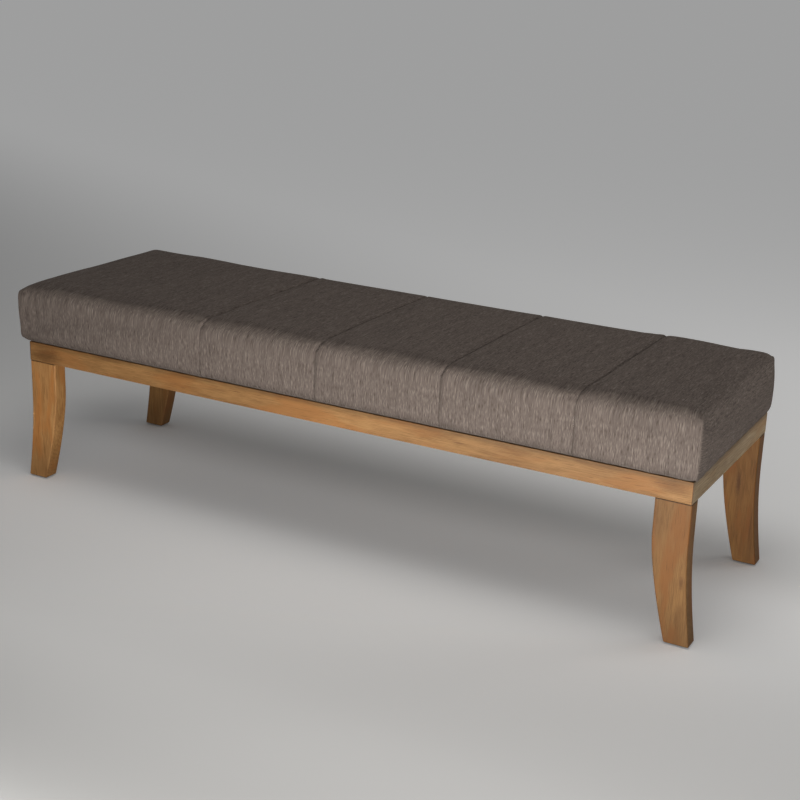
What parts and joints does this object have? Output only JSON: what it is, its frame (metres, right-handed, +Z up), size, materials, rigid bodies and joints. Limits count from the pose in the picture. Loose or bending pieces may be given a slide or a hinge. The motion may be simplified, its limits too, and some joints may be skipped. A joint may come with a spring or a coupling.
{
  "type": "upholstered bench",
  "caption": "Long low seating bench: a channelled upholstered pad on a mitred wooden frame with curved sabre legs and glides.",
  "frame": {"origin": "on the floor under the middle of the seat", "axes": "+X runs to the right along the length of the bench, -Y is the front, +Z is up"},
  "size_m": [1.5372, 0.467, 0.444],
  "materials": {
    "oak": "oiled honey-brown oak with fine grain and small knots, satin",
    "beech": "bare beech, planed",
    "pine": "bare pine, planed",
    "plywood": "bare birch plywood, sanded",
    "zinc_steel": "bright zinc-plated steel",
    "nylon": "dark brown moulded nylon",
    "foam": "cream polyurethane foam, open cells",
    "wadding": "white polyester wadding",
    "taupe_weave": "taupe grey-brown slubbed weave with fine vertical streaks",
    "black_cloth": "black non-woven dust cloth"
  },
  "bodies": {
    "root": {"front_rail": "oak", "back_rail": "oak", "left_rail": "oak", "right_rail": "oak", "leg_front_left": "oak", "leg_front_right": "oak", "leg_back_left": "oak", "leg_back_right": "oak", "corner_block_front_left": "beech", "corner_block_front_right": "beech", "corner_block_back_left": "beech", "corner_block_back_right": "beech", "mitre_spline_front_left": "beech", "mitre_spline_front_right": "beech", "mitre_spline_back_left": "beech", "mitre_spline_back_right": "beech", "leg_dowel_front_left_outer": "beech", "leg_dowel_front_left_inner": "beech", "leg_dowel_front_right_outer": "beech", "leg_dowel_front_right_inner": "beech", "leg_dowel_back_left_outer": "beech", "leg_dowel_back_left_inner": "beech", "leg_dowel_back_right_outer": "beech", "leg_dowel_back_right_inner": "beech", "leg_bolt_front_left": "zinc_steel", "leg_bolt_front_right": "zinc_steel", "leg_bolt_back_left": "zinc_steel", "leg_bolt_back_right": "zinc_steel", "washer_front_left": "zinc_steel", "washer_front_right": "zinc_steel", "washer_back_left": "zinc_steel", "washer_back_right": "zinc_steel", "nut_front_left": "zinc_steel", "nut_front_right": "zinc_steel", "nut_back_left": "zinc_steel", "nut_back_right": "zinc_steel", "foot_glide_front_left": "nylon", "foot_glide_front_right": "nylon", "foot_glide_back_left": "nylon", "foot_glide_back_right": "nylon", "cross_rail_left": "pine", "cross_rail_middle": "pine", "cross_rail_right": "pine", "seat_screw_left_front": "zinc_steel", "seat_screw_left_back": "zinc_steel", "seat_screw_middle_front": "zinc_steel", "seat_screw_middle_back": "zinc_steel", "seat_screw_right_front": "zinc_steel", "seat_screw_right_back": "zinc_steel", "seat_board": "plywood", "seat_foam": "foam", "seat_wadding": "wadding", "cover_panel_1": "taupe_weave", "cover_panel_2": "taupe_weave", "cover_panel_3": "taupe_weave", "cover_panel_4": "taupe_weave", "cover_panel_5": "taupe_weave", "dust_cloth": "black_cloth"}
  },
  "joints": []
}
